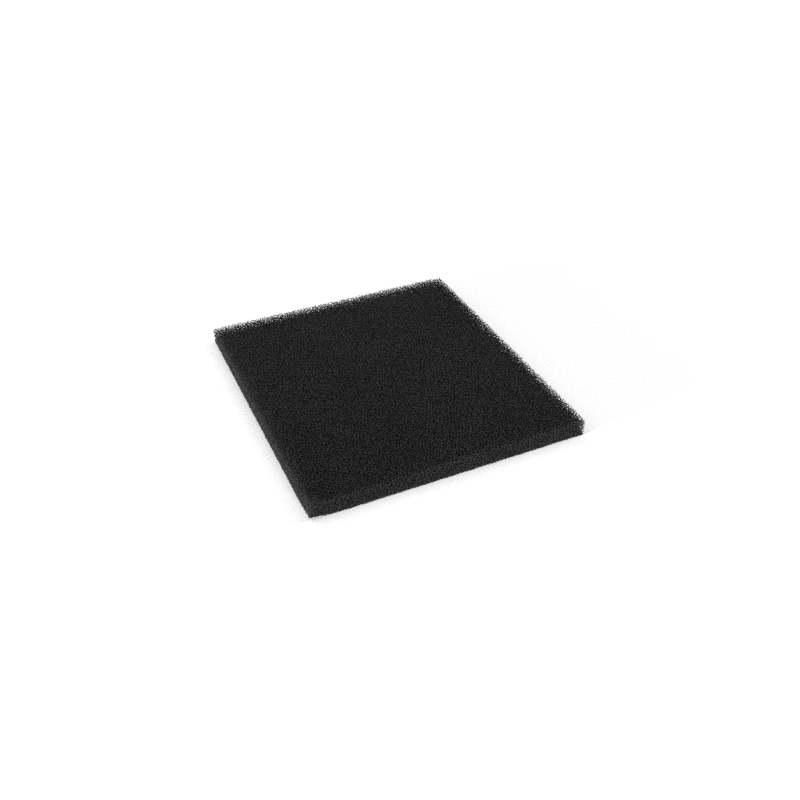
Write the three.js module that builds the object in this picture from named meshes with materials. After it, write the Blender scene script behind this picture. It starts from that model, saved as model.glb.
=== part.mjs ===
// Flat foam element of a small engine's air cleaner: one pad cut from a sheet of black open-cell foam.
// Millimetres, +Z up. The origin is the centre of the bottom face, +X runs along the short side and
// +Y along the long side.

import * as THREE from 'three';

// Driving dimensions

const WIDTH = 165;         // along X
const DEPTH = 182;         // along Y
const THICKNESS = 10;      // along Z, one stock sheet
const CORNER_RADIUS = 1;   // the knife leaves each upright corner slightly eased
const CORNER_STEPS = 4;    // facets in each eased corner

// Foam

const foam = new THREE.MeshStandardMaterial({
  name: 'foam',
  color: 0x0c0c0d,
  roughness: 0.9,
  metalness: 0,
});

// The outline of the cut, centred on the origin, counter-clockwise from the middle of the front side.
function padOutline() {
  const x = WIDTH / 2;
  const y = DEPTH / 2;
  const r = CORNER_RADIUS;
  const quarter = Math.PI / 2;
  const outline = new THREE.Shape();
  outline.moveTo(0, -y);
  outline.lineTo(x - r, -y);
  outline.absarc(x - r, -y + r, r, -quarter, 0, false);
  outline.lineTo(x, y - r);
  outline.absarc(x - r, y - r, r, 0, quarter, false);
  outline.lineTo(-x + r, y);
  outline.absarc(-x + r, y - r, r, quarter, 2 * quarter, false);
  outline.lineTo(-x, -y + r);
  outline.absarc(-x + r, -y + r, r, 2 * quarter, 3 * quarter, false);
  outline.closePath();
  return outline;
}

// The pad is the outline raised through the sheet's thickness. Its pores are not modelled: this solid is
// the space that the foam takes up.
function foamPad() {
  const geometry = new THREE.ExtrudeGeometry(padOutline(), {
    depth: THICKNESS,
    bevelEnabled: false,
    curveSegments: CORNER_STEPS,
  });
  const pad = new THREE.Mesh(geometry, foam);
  pad.name = 'foam_pad';
  return pad;
}

const filterElement = new THREE.Group();
filterElement.name = 'foam_air_filter_element';
filterElement.add(foamPad());

export default filterElement;
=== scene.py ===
# %% [markdown]
# # A flat foam air filter element
#
# This object is one piece: a pad cut with a knife from a sheet of black open-cell foam. Foam of this kind
# starts as a froth of soap-like bubbles. The films between the bubbles are burnt away, and what stays is
# the network of struts where three films met. Light goes in between the struts and mostly doesn't come
# back, so the pad looks dark and grainy, and it turns to lace at its far edges, where a ray crosses only
# a few struts. That look comes from real openings, so the lesson builds the struts themselves.

import itertools
import math
import time

import bpy
import numpy as np
from mathutils import Euler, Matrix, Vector


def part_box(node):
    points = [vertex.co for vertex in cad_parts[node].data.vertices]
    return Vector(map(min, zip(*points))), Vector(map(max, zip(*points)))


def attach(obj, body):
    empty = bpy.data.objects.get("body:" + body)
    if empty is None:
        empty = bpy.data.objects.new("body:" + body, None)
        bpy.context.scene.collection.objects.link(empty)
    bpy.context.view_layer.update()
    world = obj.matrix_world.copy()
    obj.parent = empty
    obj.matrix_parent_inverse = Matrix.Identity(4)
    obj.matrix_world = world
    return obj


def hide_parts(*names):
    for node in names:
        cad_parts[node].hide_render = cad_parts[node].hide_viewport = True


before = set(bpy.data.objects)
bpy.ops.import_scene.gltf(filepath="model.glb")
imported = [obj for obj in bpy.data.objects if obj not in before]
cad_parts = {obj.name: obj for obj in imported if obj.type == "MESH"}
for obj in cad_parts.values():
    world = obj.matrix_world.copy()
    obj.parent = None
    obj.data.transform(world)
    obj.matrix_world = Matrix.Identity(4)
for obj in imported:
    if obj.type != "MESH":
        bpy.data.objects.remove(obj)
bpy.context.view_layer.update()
start = time.perf_counter()

# %% [markdown]
# ## Where things are
#
# Every place in this script comes from the box of the pad's CAD solid. The foam is made inside that solid
# and cut by it, so it can't drift away from the design.

# %% The pad's box
MM = 0.001
pad_low, pad_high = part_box("foam_pad")
pad_size = pad_high - pad_low
pad_middle = (pad_low + pad_high) / 2
print("pad", [round(side / MM, 1) for side in pad_size], "mm")

# %% [markdown]
# ## Camera
#
# The camera stands in front of the pad and a little to its left, about 37 degrees above the floor. A
# camera can be aimed by a constraint or by its rotation. A rotation worked out once is plain and moves
# with nothing, so it is used here. The pad is small in a wide frame.

# %% Camera
LENS = 38.6 * MM
SENSOR = 36 * MM
AZIMUTH = math.radians(-24.75)
ELEVATION = math.radians(37.05)
DISTANCE = 512 * MM
NEAREST_SEEN = 10 * MM
AIM = Vector((1.2, -18.05, -4.8)) * MM     # from the pad's middle to the point looked at


def direction(azimuth, elevation):
    """The unit vector from the pad towards something at this azimuth and elevation."""
    flat = math.cos(elevation)
    return Vector((math.sin(azimuth) * flat, -math.cos(azimuth) * flat, math.sin(elevation)))


def add_camera():
    """The scene's camera, turned to look at the aim."""
    data = bpy.data.cameras.new("camera")
    data.lens = LENS / MM
    data.sensor_width = SENSOR / MM
    data.clip_start = NEAREST_SEEN
    camera = bpy.data.objects.new("camera", data)
    bpy.context.scene.collection.objects.link(camera)
    back = direction(AZIMUTH, ELEVATION)
    camera.location = pad_middle + AIM + back * DISTANCE
    camera.rotation_euler = (-back).to_track_quat("-Z", "Y").to_euler()
    bpy.context.scene.camera = camera
    return camera


print("camera at", [round(x, 3) for x in add_camera().location])

# %% [markdown]
# ## A short way to write node trees
#
# Geometry and materials are both made of nodes here. A node tree in Python is long to write one link at a
# time. Two small classes make it read like ordinary code: `Tree` adds any node in one call, and `Value`
# wraps a socket, so that arithmetic on it adds the Math nodes.

# %% Value: a socket that can be calculated with
class Value:
    """A socket that a node gives out. Arithmetic on it adds Math or Vector Math nodes."""

    def __init__(self, tree, socket):
        self.tree = tree
        self.socket = socket

    def math(self, operation, *others):
        """Any other operation, such as "ABSOLUTE", with this value as its first term."""
        return self.tree.maths(operation, self, *others)

    def __add__(self, other):
        return self.math("ADD", other)

    def __sub__(self, other):
        return self.math("SUBTRACT", other)

    def __mul__(self, other):
        return self.math("MULTIPLY", other)

    def __truediv__(self, other):
        return self.math("DIVIDE", other)

    def __gt__(self, other):
        return self.math("GREATER_THAN", other)

    def __lt__(self, other):
        return self.math("LESS_THAN", other)

    def __rsub__(self, other):
        return self.tree.maths("SUBTRACT", other, self)

    __radd__ = __add__
    __rmul__ = __mul__


def is_vector(term):
    """Whether a term of a sum or product is a vector: a tuple, or a socket of a vector or colour."""
    if isinstance(term, Value):
        return term.socket.type in ("VECTOR", "RGBA")
    return isinstance(term, tuple)


def as_vector(term):
    """A plain number becomes the vector that has it three times; anything else stays."""
    return (term, term, term) if isinstance(term, (int, float)) else term


# %% Tree: any node in one call
class Tree:
    """A node tree that is written one call per node."""

    def __init__(self, nodes_of):
        self.tree = nodes_of

    def node(self, kind, settings=None, inputs=None):
        """Adds a node, gives it its settings first, then its values and links, and returns the node."""
        made = self.tree.nodes.new(kind)
        for name, setting in (settings or {}).items():
            setattr(made, name, setting)
        for name, value in (inputs or {}).items():
            self.feed(made.inputs[name], value)
        return made

    def feed(self, socket, value):
        """Sets a socket to a number or links it to a Value; a list links several to one socket."""
        for one in value if isinstance(value, list) else [value]:
            if isinstance(one, Value):
                self.tree.links.new(one.socket, socket)
            else:
                socket.default_value = one

    def add(self, kind, settings=None, inputs=None, output=0):
        """The same, but returns one of the node's outputs as a Value."""
        return Value(self, self.node(kind, settings, inputs).outputs[output])

    def maths(self, operation, *terms):
        """A Math node on these terms, or a Vector Math node if any of them is a vector."""
        kind = "ShaderNodeMath"
        if any(is_vector(term) for term in terms):
            kind = "ShaderNodeVectorMath"
            terms = [as_vector(term) for term in terms]
        return self.add(kind, {"operation": operation}, dict(enumerate(terms)))


def input_socket(group, name, kind, value=None):
    """Adds a named input to a node group and returns its identifier."""
    socket = group.interface.new_socket(name, in_out="INPUT", socket_type=kind)
    if value is not None:
        socket.default_value = value
    return socket.identifier


# %% [markdown]
# ## A block of froth
#
# A froth has three rules. Its bubbles are all about one size, with no order. Three films meet in each
# strut. Four struts meet at each corner. The space nearest to each of a set of scattered seeds, its
# Voronoi cell, follows the same rules, so a block of froth can be worked out from seeds: each corner is a
# point equally far from four of them, with none nearer. Tidy lattices are easier, but their rows show at
# once. The block's right side fits its left one, its back its front and its top its bottom, so that
# copies of it can be stacked to any size.

# %% Seeds
CELL = 2.25 * MM            # width of a cell
BLOCK = 8.0                 # side of the block, in cells
SPHERE = math.pi / 6        # volume of a ball one wide
NEAREST_START = 0.62        # least distance between seeds at first, in cells
PUSH_RANGE = 1.0            # seeds nearer than this push each other apart, in cells
PUSH_ROUNDS = 6
PUSH = 0.3
NEIGHBOURS = 40             # seeds that can touch or crowd a cell
CHUNK = 256                 # seeds handled together, to save memory
random = np.random.default_rng(7)


def scatter_seeds():
    """Seeds in the block, none nearer to another than NEAREST_START, in cells."""
    wanted = round(BLOCK ** 3 / SPHERE)
    seeds = np.empty((wanted, 3))
    placed = 0
    while placed < wanted:
        seed = random.random(3) * BLOCK
        gap = wrapped(seeds[:placed] - seed)
        if not placed or (gap ** 2).sum(1).min() > NEAREST_START ** 2:
            seeds[placed] = seed
            placed += 1
    return seeds


def wrapped(step):
    """The step to the nearest copy of a seed, as the block repeats."""
    return step - BLOCK * np.round(step / BLOCK)


def near_seeds(seeds):
    """For each seed, its nearest neighbours and the steps to them, nearest first."""
    names, steps = [], []
    for first in range(0, len(seeds), CHUNK):
        gap = wrapped(seeds[None, :] - seeds[first:first + CHUNK, None])
        order = (gap ** 2).sum(2).argsort(1)[:, 1:NEIGHBOURS + 1]
        names.append(order)
        steps.append(np.take_along_axis(gap, order[:, :, None], 1))
    return np.concatenate(names), np.concatenate(steps)


def even_out(seeds):
    """Lets crowded seeds push each other apart, as growing bubbles do."""
    for _ in range(PUSH_ROUNDS):
        _, steps = near_seeds(seeds)
        distance = np.linalg.norm(steps, axis=2, keepdims=True)
        push = np.clip(PUSH_RANGE - distance, 0, None) / distance
        seeds = (seeds - PUSH * (steps * push).sum(1) / PUSH_RANGE) % BLOCK
    return seeds


seeds = even_out(scatter_seeds())
near, near_steps = near_seeds(seeds)
print(len(seeds), "seeds, nearest pair", round(float(np.linalg.norm(near_steps[:, 0], axis=1).min()), 2))

# %% [markdown]
# ## Corners of the froth
#
# Every three of a seed's neighbours make, together with it, one point that is equally far from all four.
# Few of these points are corners: a point is one only if no other seed is nearer to it. Each is worked out
# with vector products, thousands at a time, because a loop over them would take minutes. A corner is found
# once from each of its four seeds, so copies are dropped by the names of the seeds.

# %% Find the corners
TOUCHING = 24               # nearest seeds that can share a corner with a seed
WIDEST = 1.4                # more than the distance from a seed to any of its corners, in cells
SMALL = 1e-9
THREES = np.array(list(itertools.combinations(range(TOUCHING), 3)))


def equal_centres(steps):
    """For each seed, the points equally far from it and from each three of its neighbours."""
    a, b, c = (steps[:, THREES[:, k]] for k in range(3))
    crossed = np.cross(b, c)
    volume = (a * crossed).sum(2)
    volume[abs(volume) < SMALL] = SMALL
    square_a, square_b, square_c = ((v ** 2).sum(2)[..., None] for v in (a, b, c))
    centre = square_a * crossed + square_b * np.cross(c, a) + square_c * np.cross(a, b)
    return centre / (2 * volume[..., None])


def has_no_nearer_seed(centre, steps):
    """Which of these points lie in reach and have no other seed nearer than their own four."""
    in_reach = (centre ** 2).sum(2) < WIDEST ** 2
    halves = (steps ** 2).sum(2)[:, None] / 2 + SMALL
    empty = (np.matmul(centre, steps.transpose(0, 2, 1)) <= halves).all(2)
    return in_reach & empty


def find_corners():
    """Each corner once: its place, its four seeds in rising order, and which copy of each seed it is."""
    places, names, copies = [], [], []
    for first in range(0, len(seeds), CHUNK):
        steps = near_steps[first:first + CHUNK]
        centre = equal_centres(steps)
        which, three = np.nonzero(has_no_nearer_seed(centre, steps))
        seed = which + first
        others = near[seed[:, None], THREES[three]]
        ends = seeds[seed][:, None] + steps[which[:, None], THREES[three]]
        name = np.concatenate([seed[:, None], others], 1)
        copy = np.concatenate([np.zeros((len(seed), 1, 3)), (ends - seeds[others]) / BLOCK], 1)
        order = name.argsort(1)
        name = np.take_along_axis(name, order, 1)
        copy = np.take_along_axis(np.round(copy).astype(int), order[:, :, None], 1)
        places.append(seeds[seed] + centre[which, three] - copy[:, 0] * BLOCK)
        names.append(name)
        copies.append(copy - copy[:, :1])
    places, names, copies = map(np.concatenate, (places, names, copies))
    keys = np.concatenate([names, copies.reshape(len(names), -1)], 1)
    _, once = np.unique(keys, axis=0, return_index=True)
    return places[once], names[once], copies[once]


places, names, copies = find_corners()
print(len(places), "corners,", round(len(places) / len(seeds), 2), "for each cell")

# %% [markdown]
# ## Which corners are joined
#
# Two corners that share three seeds are the ends of one strut. The corners are then pulled towards the
# middle of their four neighbours, as tight films would pull them, so that no strut is very short.

# %% Which corners are joined
TIGHTEN = 0.5
TIGHTEN_ROUNDS = 3
OTHER_THREE = np.array([[1, 2, 3], [0, 2, 3], [0, 1, 3], [0, 1, 2]])


def join_corners():
    """Pairs of (corner, seed that the strut doesn't touch), and which copy of the block the second is in."""
    corner, missing = (grid.ravel() for grid in np.indices((len(names), 4)))
    shared = OTHER_THREE[missing]
    three = names[corner[:, None], shared]
    copy = copies[corner[:, None], shared]
    keys = np.concatenate([three, (copy - copy[:, :1]).reshape(len(three), -1)], 1)
    _, key = np.unique(keys, axis=0, return_inverse=True)
    order = key.ravel().argsort(kind="stable")
    first, second = order[0::2], order[1::2]
    ends = np.stack([corner[first], missing[first]], 1), np.stack([corner[second], missing[second]], 1)
    return ends[0], ends[1], copy[first, 0] - copy[second, 0]


def strut_steps(places, near_end, far_end, shift):
    """For each corner, the steps along its four struts."""
    steps = np.zeros((len(places), 4, 3))
    along = places[far_end[:, 0]] + shift * BLOCK - places[near_end[:, 0]]
    steps[near_end[:, 0], near_end[:, 1]] = along
    steps[far_end[:, 0], far_end[:, 1]] = -along
    return steps


near_end, far_end, shift = join_corners()
for _ in range(TIGHTEN_ROUNDS):
    places = places + TIGHTEN * strut_steps(places, near_end, far_end, shift).mean(1)
steps = strut_steps(places, near_end, far_end, shift)
lengths = np.linalg.norm(steps, axis=2)
print(len(near_end), "struts,", round(lengths.min(), 3), "to", round(lengths.max(), 3), "cells long")

# %% [markdown]
# ## Struts
#
# Foam struts are three-sided, because three films met in each. So each corner becomes a small
# tetrahedron, each strut leaves through one of its faces, and a strut is just three four-sided faces from
# one tetrahedron to the next. Tubes along the edges would need twice as many faces and would leave a seam
# at every corner. This mesh has no seam: neighbours share their corner points.

# %% Points and struts
STRUT_WIDTH = 0.14          # side of a strut's section, in cells
TETRAHEDRON = math.sqrt(8 / 3)      # edge of a regular tetrahedron that reaches 1 from its middle


def corner_points():
    """The four points round each corner, each across from one of its struts, and the steps to them."""
    reach = STRUT_WIDTH / TETRAHEDRON
    from_corner = -reach * steps / lengths[:, :, None]
    points = places[:, None] + from_corner
    return points.reshape(-1, 3), from_corner.reshape(-1, 3)


def strut_ends():
    """For each strut, the three points at each of its ends, in the same order at both."""
    near_points = near_end[:, :1] * 4 + OTHER_THREE[near_end[:, 1]]
    far_points = far_end[:, :1] * 4 + OTHER_THREE[far_end[:, 1]]
    return near_points, far_points


def add_points_outside(points, from_corner, far_points):
    """A strut that leaves the block ends at copies of its far points, which this adds."""
    leaving = np.repeat(shift.any(1), 3).reshape(-1, 3)
    outer = np.concatenate([far_points[leaving][:, None], np.repeat(shift, 3, 0)[leaving.ravel()]], 1)
    outer, number = np.unique(outer, axis=0, return_inverse=True)
    far_points[leaving] = len(points) + number.ravel()
    points = np.concatenate([points, points[outer[:, 0]] + outer[:, 1:] * BLOCK])
    return points, np.concatenate([from_corner, from_corner[outer[:, 0]]])


def face_outwards(points, near_points, far_points):
    """Puts the points of each strut in the order that makes its faces point outwards."""
    a, b, c = (points[near_points[:, k]] for k in range(3))
    along = points[far_points].mean(1) - (a + b + c) / 3
    turned = (np.cross(b - a, c - a) * along).sum(1) < 0
    near_points[turned] = near_points[turned][:, ::-1]
    far_points[turned] = far_points[turned][:, ::-1]


# %% The block as a mesh, in cells
def froth_block():
    """The block, in which each point also knows the step to its corner's middle."""
    points, from_corner = corner_points()
    near_points, far_points = strut_ends()
    points, from_corner = add_points_outside(points, from_corner, far_points)
    face_outwards(points, near_points, far_points)
    faces = [np.stack([near_points[:, k], near_points[:, k - 2], far_points[:, k - 2], far_points[:, k]], 1)
             for k in range(3)]
    mesh = bpy.data.meshes.new("froth_block")
    mesh.from_pydata((points - BLOCK / 2).tolist(), [], np.concatenate(faces).tolist())
    to_corner = mesh.attributes.new("to_corner", "FLOAT_VECTOR", "POINT")
    to_corner.data.foreach_set("vector", -from_corner.ravel())
    return bpy.data.objects.new("froth_block", mesh)


block = froth_block()
print("block:", len(block.data.vertices), "points,", len(block.data.polygons), "faces")

# %% [markdown]
# ## The foam
#
# Geometry Nodes build the pad from the block. Copies of it are joined into one network, the pad's CAD solid
# cuts that as a knife cuts the sheet, and a core, painted dark as shade, fills the middle. Each step is a
# short function that adds its nodes and returns the geometry. Rotations, sizes and the objects to cut are
# inputs of the tree, so the same tree could cut another pad from another froth. The steps come first and the
# tree that joins them comes last.

# %% Places in the pad
def beyond(tree, place, low, high):
    """How far outside the box from low to high a place is; less than 0 inside it."""
    out = (place - (low + high) * 0.5).math("ABSOLUTE") - (high - low) * 0.5
    parts = tree.node("ShaderNodeSeparateXYZ", None, {0: out})
    x, y, z = (Value(tree, socket) for socket in parts.outputs)
    return x.math("MAXIMUM", y).math("MAXIMUM", z)


def height_of(tree, place):
    """A place's Z."""
    return Value(tree, tree.node("ShaderNodeSeparateXYZ", None, {0: place}).outputs["Z"])


# %% [markdown]
# ## The core
#
# Nothing can be seen through more than a few struts, and struts all the way through would cost three times
# the faces. So a dark, uneven core fills the middle of the pad and stands for more of the same; its dark
# colour is painted shade, for the light that goes in deeper and doesn't come back. It lies one cell under
# the top. Its sides lean in, so that the top edges are open struts with light behind them, while the foot
# stays close to the faces, where the floor's shadow closes the pores and the core's painted shade stands in
# for that shadow.

# %% The core
# The shallow struts under and around the core's foot let its painted shade darken the pad's bottom edges, as
# the floor's shadow does.
BOTTOM_DEPTH = 0.25 * MM    # of open struts under the core
SIDE_DEPTH = 0.25 * MM      # of open struts around it, at its foot
TOP_DEPTH = 2.3 * MM        # of open struts over it
CORE_LEAN = 7.5 * MM        # how much further in the core's top edge is than its foot
CORE_BUMPS = 0.3 * MM       # how far the core's faces rise and fall, at its top edge
BUMPS_A_CELL = 0.9
CORE_STEP = 1.6 * MM        # between the core's points
NOISE_MIDDLE = 0.5          # of a noise's values
NOISE_SWING = 0.25          # how far most of them stray from it


def up_the_core(tree, place, wanted):
    """How far up the core's height a place is, from 0 at its foot to 1 at its top edge."""
    low, high = (height_of(tree, wanted[name]) for name in ("Core Low", "Core High"))
    return tree.add("ShaderNodeMapRange", None,
                    {"Value": height_of(tree, place), "From Min": low, "From Max": high})


def leaning_in(tree, place, wanted):
    """How far the core's sides have leaned in at the height of a place, as a vector along X and Y."""
    lean = up_the_core(tree, place, wanted) * wanted["Core Lean"]
    return tree.add("ShaderNodeCombineXYZ", None, {0: lean, 1: lean})


def uneven_core(tree, wanted):
    """A closed box between the core's corners, with its sides leaning in and its faces uneven."""
    low, high = wanted["Core Low"], wanted["Core High"]
    middle, size = (low + high) * 0.5, high - low
    sides = tree.node("ShaderNodeSeparateXYZ", None, {0: size})
    counts = [(Value(tree, side) / CORE_STEP + 1).math("CEIL") for side in sides.outputs]
    core = tree.add("GeometryNodeMeshCube", None,
                    {"Size": size, "Vertices X": counts[0], "Vertices Y": counts[1],
                     "Vertices Z": counts[2]})
    place = tree.add("GeometryNodeInputPosition")
    lean = leaning_in(tree, place + middle, wanted)
    bumps = tree.add("ShaderNodeTexNoise", None,
                     {"Vector": place / wanted["Cell"], "Scale": BUMPS_A_CELL, "Detail": 0.0}, "Color")
    bumps = (bumps - NOISE_MIDDLE) * (CORE_BUMPS / NOISE_SWING) * up_the_core(tree, place + middle, wanted)
    shaped = place * (1 - lean * 2 / size) + middle + bumps
    return tree.add("GeometryNodeSetPosition", None, {"Geometry": core, "Position": shaped})


def on_core(tree):
    """1 on the core's faces and 0 on the struts."""
    return tree.add("GeometryNodeInputNamedAttribute", {"data_type": "FLOAT"}, {"Name": "core"})


# %% [markdown]
# ## Laying the blocks
#
# The pad was cut from a block of foam far bigger than itself. Copies of the froth are laid on a grid that is
# tilted to the pad, so that no two of them are cut at the same height and no pattern shows. An array along
# the pad's own sides would be simpler, but its rows would show. Struts outside the pad or deep in the core
# are dropped at once, because the knife's work grows with their number.

# %% Lay the blocks
TILT = Euler([math.radians(angle) for angle in (23, 37, 11)])
SPARE_BLOCKS = 3            # more along each side of the grid than the pad is long
ROOTED = 0.15               # how deep in the core a strut may end, in cells
SAME_SEAM = 0.0001          # points where two blocks meet are one if nearer than this, in block sides


def lay_blocks(tree, solid, wanted):
    """Copies of the block, joined, on a tilted grid wherever there is foam to show."""
    box = tree.node("GeometryNodeBoundBox", None, {"Geometry": solid})
    low, high = Value(tree, box.outputs["Min"]), Value(tree, box.outputs["Max"])
    side = wanted["Cell"] * BLOCK
    across = tree.add("ShaderNodeVectorMath", {"operation": "LENGTH"}, {0: high - low}, "Value")
    along = (across / side + SPARE_BLOCKS).math("CEIL")
    index = tree.add("GeometryNodeInputIndex")
    row, layer = (index / along).math("FLOOR"), (index / (along * along)).math("FLOOR")
    steps = tree.add("ShaderNodeCombineXYZ", None,
                     {0: index - row * along, 1: row - layer * along, 2: layer})
    spot = tree.add("FunctionNodeRotateVector", None,
                    {"Vector": (steps - along * 0.5) * side, "Rotation": wanted["Tilt"]})
    spots = tree.add("GeometryNodePoints", None, {"Count": along * along * along,
                                                  "Position": spot + (low + high) * 0.5})
    place = tree.add("GeometryNodeInputPosition")
    spots = tree.add("GeometryNodeDeleteGeometry", {"domain": "POINT"},
                     {"Geometry": spots, "Selection": beyond(tree, place, low, high) > side})
    block_mesh = tree.add("GeometryNodeObjectInfo", None, {"Object": wanted["Block"]}, "Geometry")
    laid = tree.add("GeometryNodeInstanceOnPoints", None,
                    {"Points": spots, "Instance": block_mesh, "Rotation": wanted["Tilt"],
                     "Scale": wanted["Cell"]})
    laid = tree.add("GeometryNodeRealizeInstances", None, {"Geometry": laid})
    laid = drop_hidden(tree, laid, low, high, wanted)
    return tree.add("GeometryNodeMergeByDistance", None,
                    {"Geometry": laid, "Distance": side * SAME_SEAM})


def drop_hidden(tree, froth, low, high, wanted):
    """Deletes the struts with an end well outside the pad or deep in its core."""
    to_corner = tree.add("GeometryNodeInputNamedAttribute", {"data_type": "FLOAT_VECTOR"},
                         {"Name": "to_corner"})
    to_corner = tree.add("FunctionNodeRotateVector", None,
                         {"Vector": to_corner, "Rotation": wanted["Tilt"]})
    corner = tree.add("GeometryNodeInputPosition") + to_corner * wanted["Cell"]
    outside = beyond(tree, corner, low, high) > wanted["Cell"]
    lean = leaning_in(tree, corner, wanted)
    into_core = beyond(tree, corner, wanted["Core Low"] + lean, wanted["Core High"] - lean)
    buried = into_core < wanted["Cell"] * -ROOTED
    hidden = tree.add("GeometryNodeFieldOnDomain", {"domain": "POINT", "data_type": "FLOAT"},
                      {"Value": outside.math("MAXIMUM", buried)})
    return tree.add("GeometryNodeDeleteGeometry", {"domain": "FACE"},
                    {"Geometry": froth, "Selection": hidden > 0.0})


# %% [markdown]
# ## The knife
#
# On a cut sheet each strut ends flush in the face of the pad. Deleting the struts outside would leave a
# ragged pad, so the CAD solid cuts the froth with a boolean. The Manifold solver does that in seconds, but
# it needs a closed mesh, so the open strut ends outside the pad are drawn together to points first. Then
# the crumbs that the knife cut loose are dropped, as they fall off a real pad.

# %% Ready the froth for the knife, and drop what it cuts loose
SAME_POINT = 0.01 * MM      # points of the CAD solid nearer than this are one
SAME_END = 0.0001 * MM      # the same, for a strut's end that was drawn together
SMALLEST_SCRAP = 100        # points; a piece with fewer is a crumb


def close_ends(tree, froth):
    """Draws each open strut end together to one point."""
    faces = tree.add("GeometryNodeInputMeshEdgeNeighbors")
    ends = tree.node("GeometryNodeExtrudeMesh", {"mode": "EDGES"},
                     {"Mesh": froth, "Selection": faces < 2, "Offset Scale": 0.0})
    froth, top = Value(tree, ends.outputs["Mesh"]), Value(tree, ends.outputs["Top"])
    froth = tree.add("GeometryNodeScaleElements", {"domain": "EDGE"},
                     {"Geometry": froth, "Selection": top, "Scale": 0.0})
    return tree.add("GeometryNodeMergeByDistance", None, {"Geometry": froth, "Distance": SAME_END})


def drop_crumbs(tree, cut, smallest):
    """Deletes each loose island of the mesh that has fewer points than the smallest scrap."""
    island = tree.add("GeometryNodeInputMeshIsland")
    counted = tree.add("GeometryNodeAccumulateField", {"data_type": "INT", "domain": "POINT"},
                       {"Value": 1, "Group ID": island}, "Total")
    return tree.add("GeometryNodeDeleteGeometry", {"domain": "POINT"},
                    {"Geometry": cut, "Selection": counted < smallest})


# %% [markdown]
# ## The foam's map
#
# A colour that comes from nodes has to be baked to an image before the model can leave Blender, and a bake
# needs a flat map of the mesh. An automatic unwrap would cut a million strut faces into as many islands.
# The colour depends only on where in the pad a face lies, so the map can be the view from above, and
# struts that lie over each other share a spot on it. It is seen from a slant, so that upright faces keep
# some width. The core, which is painted darker as shade, gets a half of its own.

# %% Lay out the map
MAP_NAME = "OFBake"
MAP_SLANT = (0.4, 0.7, 0.0)     # how far the map leans over for each step up
MAP_SIZE = (0.90, 0.43, 0.0)    # the part of the map that the core's box takes
MAP_CORNER = (0.03, 0.02, 0.0)
MAP_OF_CORE = (0.0, 0.5, 0.0)   # from the struts' part of the map to the core's


def lay_out_map(tree, whole, wanted):
    """Gives the foam a flat map, seen from a slant, with the struts in its lower half and the core above."""
    low, high = wanted["Core Low"], wanted["Core High"]
    place = tree.add("GeometryNodeInputPosition")
    slanted = place + height_of(tree, place) * MAP_SLANT
    part = (slanted - low) / (high - low)
    spot = part * MAP_SIZE + MAP_CORNER + on_core(tree) * MAP_OF_CORE
    return tree.add("GeometryNodeStoreNamedAttribute", {"data_type": "FLOAT2", "domain": "CORNER"},
                    {"Geometry": whole, "Name": MAP_NAME, "Value": spot})


# %% [markdown]
# ## The curled corner
#
# Foam is so light and soft that a pad seldom lies quite flat. This one's front left corner has curled up a
# little. A soft body simulation would curl it too, but in a place of its own choosing. A smooth lift that
# fades with the distance from the corner puts it where it is.

# %% Curl the corner
CORNER_LIFT = 1.8 * MM      # how far the corner is off the floor
CORNER_REACH = 20 * MM      # how far from the corner the curl starts
ALONG_FLOOR = (1.0, 1.0, 0.0)


def curl_corner(tree, whole, wanted):
    """Lifts the foam near the corner where the pad's front and left faces meet."""
    place = tree.add("GeometryNodeInputPosition")
    flat = (place - wanted["Core Low"]) * ALONG_FLOOR
    away = tree.add("ShaderNodeVectorMath", {"operation": "LENGTH"}, {0: flat}, "Value")
    near = tree.add("ShaderNodeMapRange", {"interpolation_type": "SMOOTHSTEP"},
                    {"Value": away, "From Min": wanted["Corner Reach"], "From Max": 0.0})
    up = tree.add("ShaderNodeCombineXYZ", None, {2: near * near * wanted["Corner Lift"]})
    return tree.add("GeometryNodeSetPosition", None, {"Geometry": whole, "Offset": up})


# %% [markdown]
# ## The whole tree
#
# The order matters. The froth is cut before the core joins it, so that the knife works on struts alone, and
# the map is laid out before the corner is curled, while places in the pad still say which strut is where.

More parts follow.
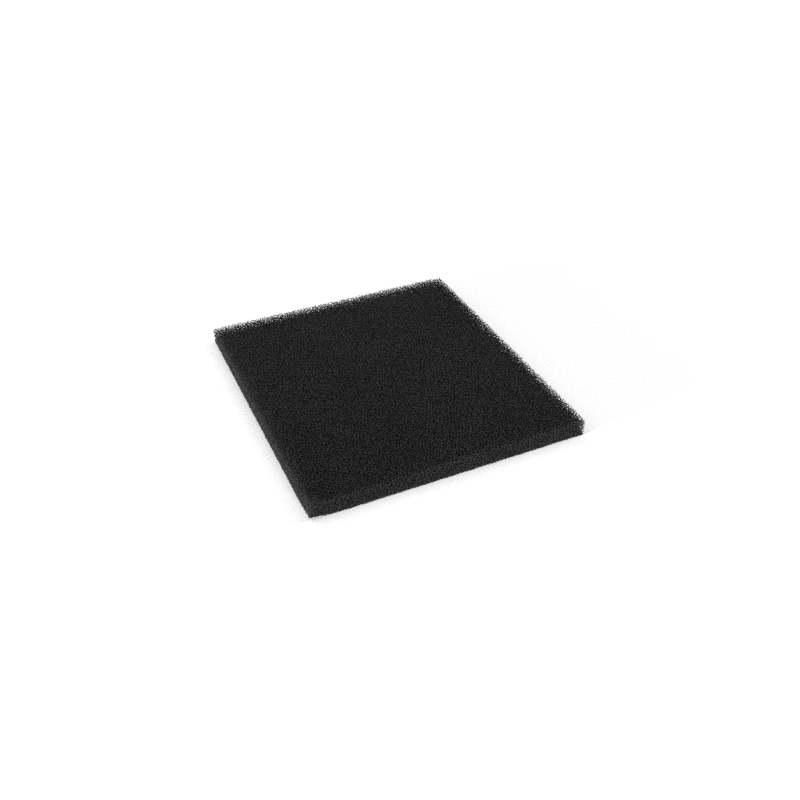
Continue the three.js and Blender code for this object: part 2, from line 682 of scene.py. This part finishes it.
# %% The whole tree
def foam_tree():
    group = bpy.data.node_groups.new("cut_foam", "GeometryNodeTree")
    group.interface.new_socket("Geometry", in_out="OUTPUT", socket_type="NodeSocketGeometry")
    inputs = {
        "Solid": ("NodeSocketObject", None),
        "Block": ("NodeSocketObject", None),
        "Cell": ("NodeSocketFloat", CELL),
        "Tilt": ("NodeSocketRotation", None),
        "Core Low": ("NodeSocketVector", None),
        "Core High": ("NodeSocketVector", None),
        "Core Lean": ("NodeSocketFloat", CORE_LEAN),
        "Smallest Scrap": ("NodeSocketInt", SMALLEST_SCRAP),
        "Corner Lift": ("NodeSocketFloat", CORNER_LIFT),
        "Corner Reach": ("NodeSocketFloat", CORNER_REACH),
        "Strut Material": ("NodeSocketMaterial", None),
        "Core Material": ("NodeSocketMaterial", None),
    }
    sockets = {name: input_socket(group, name, *kind) for name, kind in inputs.items()}
    tree = Tree(group)
    given = group.nodes.new("NodeGroupInput")
    wanted = {name: Value(tree, given.outputs[name]) for name in inputs}

    solid = tree.add("GeometryNodeObjectInfo", None, {"Object": wanted["Solid"]}, "Geometry")
    solid = tree.add("GeometryNodeMergeByDistance", None, {"Geometry": solid, "Distance": SAME_POINT})
    froth = lay_blocks(tree, solid, wanted)
    froth = close_ends(tree, froth)
    cut = tree.add("GeometryNodeMeshBoolean", {"operation": "INTERSECT", "solver": "MANIFOLD"},
                   {"Mesh 2": [froth, solid]})
    cut = drop_crumbs(tree, cut, wanted["Smallest Scrap"])
    core = tree.add("GeometryNodeStoreNamedAttribute", {"data_type": "FLOAT", "domain": "FACE"},
                    {"Geometry": uneven_core(tree, wanted), "Name": "core", "Value": 1.0})
    whole = tree.add("GeometryNodeJoinGeometry", None, {"Geometry": [cut, core]})
    whole = lay_out_map(tree, whole, wanted)
    whole = curl_corner(tree, whole, wanted)
    whole = tree.add("GeometryNodeRealizeInstances", None, {"Geometry": whole})
    whole = tree.add("GeometryNodeSetMaterial", None,
                     {"Geometry": whole, "Material": wanted["Strut Material"]})
    whole = tree.add("GeometryNodeSetMaterial", None,
                     {"Geometry": whole, "Selection": on_core(tree), "Material": wanted["Core Material"]})
    tree.node("NodeGroupOutput", None, {"Geometry": whole})
    return group, sockets


# %% Run the tree
def cut_foam(name, solid, block, strut_material, shaded_core_material):
    """The finished foam as a plain mesh object."""
    group, sockets = foam_tree()
    carrier = bpy.data.objects.new(name + "_carrier", bpy.data.meshes.new(name + "_carrier"))
    bpy.context.scene.collection.objects.link(carrier)
    modifier = carrier.modifiers.new("cut_foam", "NODES")
    modifier.node_group = group
    modifier[sockets["Solid"]] = solid
    modifier[sockets["Block"]] = block
    modifier[sockets["Tilt"]] = TILT
    modifier[sockets["Core Low"]] = pad_low + Vector((SIDE_DEPTH, SIDE_DEPTH, BOTTOM_DEPTH))
    modifier[sockets["Core High"]] = pad_high - Vector((SIDE_DEPTH, SIDE_DEPTH, TOP_DEPTH))
    modifier[sockets["Strut Material"]] = strut_material
    modifier[sockets["Core Material"]] = shaded_core_material
    graph = bpy.context.evaluated_depsgraph_get()
    mesh = bpy.data.meshes.new_from_object(carrier.evaluated_get(graph), depsgraph=graph)
    mesh.name = name
    piece = bpy.data.objects.new(name, mesh)
    bpy.context.scene.collection.objects.link(piece)
    carrier.modifiers.remove(modifier)
    bpy.data.objects.remove(carrier)
    for used_up in ("to_corner", "core", "custom_normal"):
        mesh.attributes.remove(mesh.attributes[used_up])
    return piece


# %% [markdown]
# ## The finish of the struts
#
# The foam is polyurethane, dyed black right through, with a skin that has a soft gloss. The dye isn't quite
# even: some patches of the sheet are a little greyer, and so are some struts. One noise as wide as a thumb
# and one as wide as a strut give that. The skin is wrinkled where the films burnt away, so the roughness
# changes along a strut and a fine noise feeds a bump.

# %% Foam material
STRUT_DARK = (0.015, 0.015, 0.0151, 1.0)
STRUT_GREY = (0.0255, 0.0255, 0.0257, 1.0)
STRUT_GLOSS = 0.13              # level of its mirror-like part
ROUGH_LEAST = 0.45
ROUGH_MOST = 0.72
PATCH = 24 * MM                 # width of a patch of uneven dye
GRAIN = CELL / 2                # the same, from strut to strut
PATCH_SHARE = 0.4               # of the patches in the dye's unevenness; the rest is from strut to strut
ROUGH_SPOT = CELL / 3
WRINKLE = 0.12 * MM
WRINKLE_DEPTH = 0.01 * MM
NOISE_LOW, NOISE_HIGH = 0.3, 0.7    # where nearly all of a noise's values lie


def noise(tree, place, width, detail=2.0):
    """A noise from 0 to 1 whose lumps are about this wide."""
    return tree.add("ShaderNodeTexNoise", None, {"Vector": place, "Scale": 1 / width, "Detail": detail})


def spread(tree, value, low=NOISE_LOW, high=NOISE_HIGH):
    """A value between low and high, made to run from 0 to 1."""
    return tree.add("ShaderNodeMapRange", None, {"Value": value, "From Min": low, "From Max": high})


def new_material(name):
    """An empty node material and its tree."""
    material = bpy.data.materials.new(name)
    material.use_nodes = True
    material.node_tree.nodes.clear()
    return material, Tree(material.node_tree)


def finish_material(tree, **sockets):
    """Adds the shader, with its sockets' names written with underscores, and the output."""
    inputs = {name.replace("_", " "): value for name, value in sockets.items()}
    shader = tree.add("ShaderNodeBsdfPrincipled", None, inputs)
    tree.node("ShaderNodeOutputMaterial", None, {"Surface": shader})


def strut_material():
    """Black foam."""
    material, tree = new_material("black_foam")
    place = tree.add("ShaderNodeTexCoord", None, None, "Object")
    patches = spread(tree, noise(tree, place, PATCH))
    grains = spread(tree, noise(tree, place, GRAIN))
    grey = patches * PATCH_SHARE + grains * (1 - PATCH_SHARE)
    colour = tree.add("ShaderNodeMix", {"data_type": "RGBA"},
                      {"Factor": grey, "A": STRUT_DARK, "B": STRUT_GREY}, 2)
    wrinkles = noise(tree, place, WRINKLE)
    skin = tree.add("ShaderNodeBump", None, {"Height": wrinkles, "Distance": WRINKLE_DEPTH})
    rough = noise(tree, place, ROUGH_SPOT) * (ROUGH_MOST - ROUGH_LEAST) + ROUGH_LEAST
    finish_material(tree, Base_Color=colour, Roughness=rough, Normal=skin,
                    Specular_IOR_Level=STRUT_GLOSS)
    return material


# %% [markdown]
# ## The core's painted shade
#
# The core stands for the struts deeper in, with black holes between them, where the light that goes in
# doesn't come back. So it is nearly black, which is painted shade, and where the walls of a froth of the
# same cell size cross it, a line of strut colour runs over it. The Voronoi texture gives the distance to
# such a wall. A flat black core would show as a floor under the struts.

# %% Core material
# The core's near black is painted shade, for the light that is lost deeper in the foam.
CORE_PAINTED_SHADE = (0.013, 0.013, 0.013, 1.0)
LINE_WIDTH = 0.16               # of a strut's line on the core, in cells
LINE_RISE = 0.12 * MM
LINE_ROUGH = 0.6
CORE_GLOSS = 0.15


def shaded_core_material():
    """Painted shade: near black, with a faint net of struts."""
    material, tree = new_material("foam_depth_painted_shade")
    place = tree.add("ShaderNodeTexCoord", None, None, "Object")
    wall = tree.add("ShaderNodeTexVoronoi", {"feature": "DISTANCE_TO_EDGE"},
                    {"Vector": place, "Scale": 1 / CELL}, "Distance")
    line = 1 - spread(tree, wall, LINE_WIDTH / 2, LINE_WIDTH)
    shade = line * spread(tree, noise(tree, place, CELL))
    colour = tree.add("ShaderNodeMix", {"data_type": "RGBA"},
                      # Painted shade, crossed by lines in the struts' colour.
                      {"Factor": shade, "A": CORE_PAINTED_SHADE, "B": STRUT_GREY}, 2)
    relief = tree.add("ShaderNodeBump", None, {"Height": line, "Distance": LINE_RISE})
    rough = 1 - line * (1 - LINE_ROUGH)
    finish_material(tree, Base_Color=colour, Roughness=rough, Normal=relief,
                    Specular_IOR_Level=CORE_GLOSS)
    return material


# %% [markdown]
# ## The finished foam
#
# The foam is one closed mesh that takes the place of the CAD pad and moves with the root. It is full of
# air, but its cells are far smaller than anything that touches it, so to such things it fills the whole of
# its CAD solid.

# %% Make the foam
foam = cut_foam("foam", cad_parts["foam_pad"], block, strut_material(), shaded_core_material())
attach(foam, "root")
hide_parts("foam_pad")
print("foam:", len(foam.data.vertices), "points,", len(foam.data.polygons), "faces,",
      round(time.perf_counter() - start, 1), "s")

# %% [markdown]
# ## Floor
#
# A product like this is shown on a white table that has no edge in sight. One large, matt, nearly white
# square does that. It lies a hair under the pad, so that the two never share a plane.

# %% Floor
FLOOR_SIDE = 6.0
FLOOR_GAP = 0.05 * MM
FLOOR_WHITE = (0.9, 0.9, 0.9, 1.0)
FLOOR_ROUGH = 0.6


def add_floor():
    """A square with its own material, which belongs to the stage and not to the object."""
    half = FLOOR_SIDE / 2
    z = pad_low.z - FLOOR_GAP
    corners = [(-half, -half, z), (half, -half, z), (half, half, z), (-half, half, z)]
    mesh = bpy.data.meshes.new("floor")
    mesh.from_pydata(corners, [], [(0, 1, 2, 3)])
    floor = bpy.data.objects.new("floor", mesh)
    bpy.context.scene.collection.objects.link(floor)
    material = bpy.data.materials.new("floor")
    material.use_nodes = True
    shader = material.node_tree.nodes["Principled BSDF"]
    shader.inputs["Base Color"].default_value = FLOOR_WHITE
    shader.inputs["Roughness"].default_value = FLOOR_ROUGH
    shader.inputs["Specular IOR Level"].default_value = 0.0
    mesh.materials.append(material)
    return floor


print("floor under", round(add_floor().data.vertices[0].co.z / MM, 2), "mm")

# %% [markdown]
# ## Light
#
# The light is that of a white tent: it comes from all round, so shadows are faint and short. Low light from
# the left and the front shows the struts in the two near faces, which are a little brighter than the top. A
# softly lit world alone would leave the faces as dark as the top. Big area lights would do as well, but sun
# lights with a wide angle need no place of their own: only where they come from, how soft they are and how
# strong. The two low ones are left out of mirror-like reflections, as a studio does with polarising filters,
# because the foam would glitter white when seen against them. Behind the floor the camera sees plain white.
#
# The grain of the foam is as fine as the noise of a render, and a denoiser would smear it, so the denoiser
# is off.

# %% Light
WORLD_LIGHT = 0.35          # of the white that the world sheds on the object
WORLD_SEEN = 1.0            # of the white that the camera sees
SOFT_LIGHTS = {             # azimuth, elevation and spread in degrees, then strength
    "left_edge": (-85, 3, 8, 18.0),
    "front_edge": (0, 8, 18, 4.3),
    "left_back": (-140, 30, 40, 0.6),
    "back": (180, 35, 40, 1.0),
    "right": (90, 35, 40, 1.6),
}
WITHOUT_GLARE = ("left_edge", "front_edge")


def add_world():
    """White light from all round, weaker on the object than behind it."""
    world = bpy.data.worlds.new("studio")
    world.use_nodes = True
    world.node_tree.nodes.clear()
    tree = Tree(world.node_tree)
    seen = tree.add("ShaderNodeLightPath", None, None, "Is Camera Ray")
    strength = seen * (WORLD_SEEN - WORLD_LIGHT) + WORLD_LIGHT
    white = tree.add("ShaderNodeBackground", None, {"Color": (1, 1, 1, 1), "Strength": strength})
    tree.node("ShaderNodeOutputWorld", None, {"Surface": white})
    bpy.context.scene.world = world


def add_soft_light(name, azimuth, elevation, spread, strength):
    """A sun lamp that shines on the pad from this azimuth and elevation."""
    data = bpy.data.lights.new(name, "SUN")
    data.energy = strength
    data.angle = math.radians(spread)
    light = bpy.data.objects.new(name, data)
    bpy.context.scene.collection.objects.link(light)
    away = direction(math.radians(azimuth), math.radians(elevation))
    light.rotation_euler = away.to_track_quat("Z", "Y").to_euler()
    light.visible_glossy = name not in WITHOUT_GLARE


add_world()
for name, light in SOFT_LIGHTS.items():
    add_soft_light(name, *light)
bpy.context.scene.view_settings.view_transform = "Standard"
bpy.context.scene.cycles.use_denoising = False
print("lights:", ", ".join(SOFT_LIGHTS))
